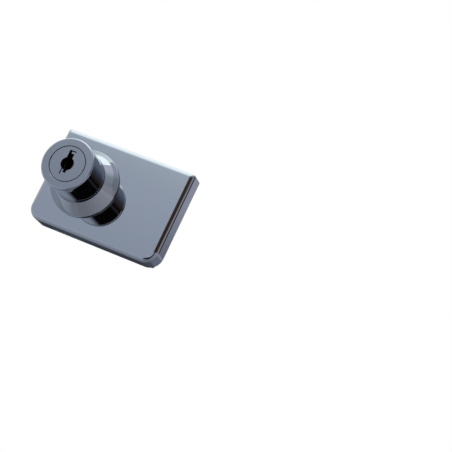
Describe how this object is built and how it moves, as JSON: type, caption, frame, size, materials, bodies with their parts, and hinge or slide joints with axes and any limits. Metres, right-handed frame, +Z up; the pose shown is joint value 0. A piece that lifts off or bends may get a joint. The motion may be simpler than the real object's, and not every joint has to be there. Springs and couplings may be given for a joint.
{
  "type": "clamp-on cylinder lock for a glass door",
  "caption": "Key-operated lock that clamps to the bottom edge of a glass door; turning the plug slides a flat bolt down out of the chrome housing.",
  "frame": {"origin": "where the cylinder's axis meets the face of the front pad, on which the glass bears", "axes": "+X along the housing's long side, +Y from the front towards the glass, +Z up; the bolt leaves towards -Z"},
  "size_m": [0.054, 0.0491, 0.0372],
  "materials": {
    "satin_chrome": "chrome plate on the lapped brass plug, a little softer than the rest",
    "bright_chrome": "bright chrome plate on cast zinc and turned brass, mirror polish",
    "brass": "stamped brass, bare",
    "zinc_steel": "sheet and turned steel, bright zinc plate",
    "black_steel": "hardened steel, black oxide",
    "spring_steel": "drawn spring wire",
    "clear_rubber": "soft moulded pad, pale grey"
  },
  "bodies": {
    "lock_body": {"front_housing": "bright_chrome", "collar": "bright_chrome", "cylinder_barrel": "bright_chrome", "barrel_nut": "zinc_steel", "guide_stud": "zinc_steel", "glass_channel": "zinc_steel", "housing_screw_1": "zinc_steel", "housing_screw_2": "zinc_steel", "housing_screw_3": "zinc_steel", "housing_screw_4": "zinc_steel", "front_pad": "clear_rubber", "edge_pad": "clear_rubber", "weld_nut_1": "zinc_steel", "weld_nut_2": "zinc_steel"},
    "key_plug": {"plug": "satin_chrome", "drive_cam": "zinc_steel", "cam_screw": "zinc_steel", "wafer_spring_1": "spring_steel", "wafer_spring_2": "spring_steel", "wafer_spring_3": "spring_steel", "wafer_spring_4": "spring_steel", "wafer_spring_5": "spring_steel", "wafer_spring_6": "spring_steel"},
    "wafer_1": {"wafer_1": "brass"},
    "wafer_2": {"wafer_2": "brass"},
    "wafer_3": {"wafer_3": "brass"},
    "wafer_4": {"wafer_4": "brass"},
    "wafer_5": {"wafer_5": "brass"},
    "wafer_6": {"wafer_6": "brass"},
    "bolt": {"bolt": "zinc_steel"},
    "set_screw_1": {"set_screw_1": "black_steel"},
    "set_screw_2": {"set_screw_2": "black_steel"},
    "pressure_plate": {"pressure_plate": "zinc_steel", "rear_pad": "clear_rubber"}
  },
  "joints": [
    {"name": "plug_turn", "type": "hinge", "parent": "lock_body", "child": "key_plug", "pos_m": [0, -0.0093, 0], "axis": [0, 1, 0], "range_deg": [0, 90]},
    {"name": "bolt_slide", "type": "slide", "parent": "lock_body", "child": "bolt", "axis": [0, 0, -1], "range_m": [0, 0.0064]},
    {"name": "wafer_1_slide", "type": "slide", "parent": "key_plug", "child": "wafer_1", "axis": [0, 0, 1], "range_m": [0, 0.0006], "stiffness_N_per_m": 60, "springref_m": 0.0008, "deforming": ["wafer_spring_1"]},
    {"name": "wafer_2_slide", "type": "slide", "parent": "key_plug", "child": "wafer_2", "axis": [0, 0, -1], "range_m": [0, 0.00048], "deforming": ["wafer_spring_2"]},
    {"name": "wafer_3_slide", "type": "slide", "parent": "key_plug", "child": "wafer_3", "axis": [0, 0, 1], "range_m": [0, 0.00036], "deforming": ["wafer_spring_3"]},
    {"name": "wafer_4_slide", "type": "slide", "parent": "key_plug", "child": "wafer_4", "axis": [0, 0, -1], "range_m": [0, 0.0006], "deforming": ["wafer_spring_4"]},
    {"name": "wafer_5_slide", "type": "slide", "parent": "key_plug", "child": "wafer_5", "axis": [0, 0, 1], "range_m": [0, 0.00048], "deforming": ["wafer_spring_5"]},
    {"name": "wafer_6_slide", "type": "slide", "parent": "key_plug", "child": "wafer_6", "axis": [0, 0, -1], "range_m": [0, 0.00036], "deforming": ["wafer_spring_6"]},
    {"name": "set_screw_1_feed", "type": "slide", "parent": "lock_body", "child": "set_screw_1", "axis": [0, -1, 0], "range_m": [0, 0.003]},
    {"name": "set_screw_2_feed", "type": "slide", "parent": "lock_body", "child": "set_screw_2", "axis": [0, -1, 0], "range_m": [0, 0.003]},
    {"name": "pressure_plate_slide", "type": "slide", "parent": "lock_body", "child": "pressure_plate", "axis": [0, -1, 0], "range_m": [0, 0.003]}
  ],
  "couplings": [
    {"joint": "bolt_slide", "follows": "plug_turn", "m_per_rad": 0.0040744},
    {"joint": "wafer_2_slide", "follows": "wafer_1_slide", "ratio": 0.8},
    {"joint": "wafer_3_slide", "follows": "wafer_1_slide", "ratio": 0.6},
    {"joint": "wafer_4_slide", "follows": "wafer_1_slide", "ratio": 1},
    {"joint": "wafer_5_slide", "follows": "wafer_1_slide", "ratio": 0.8},
    {"joint": "wafer_6_slide", "follows": "wafer_1_slide", "ratio": 0.6},
    {"joint": "set_screw_2_feed", "follows": "set_screw_1_feed", "ratio": 1},
    {"joint": "pressure_plate_slide", "follows": "set_screw_1_feed", "ratio": 1}
  ]
}
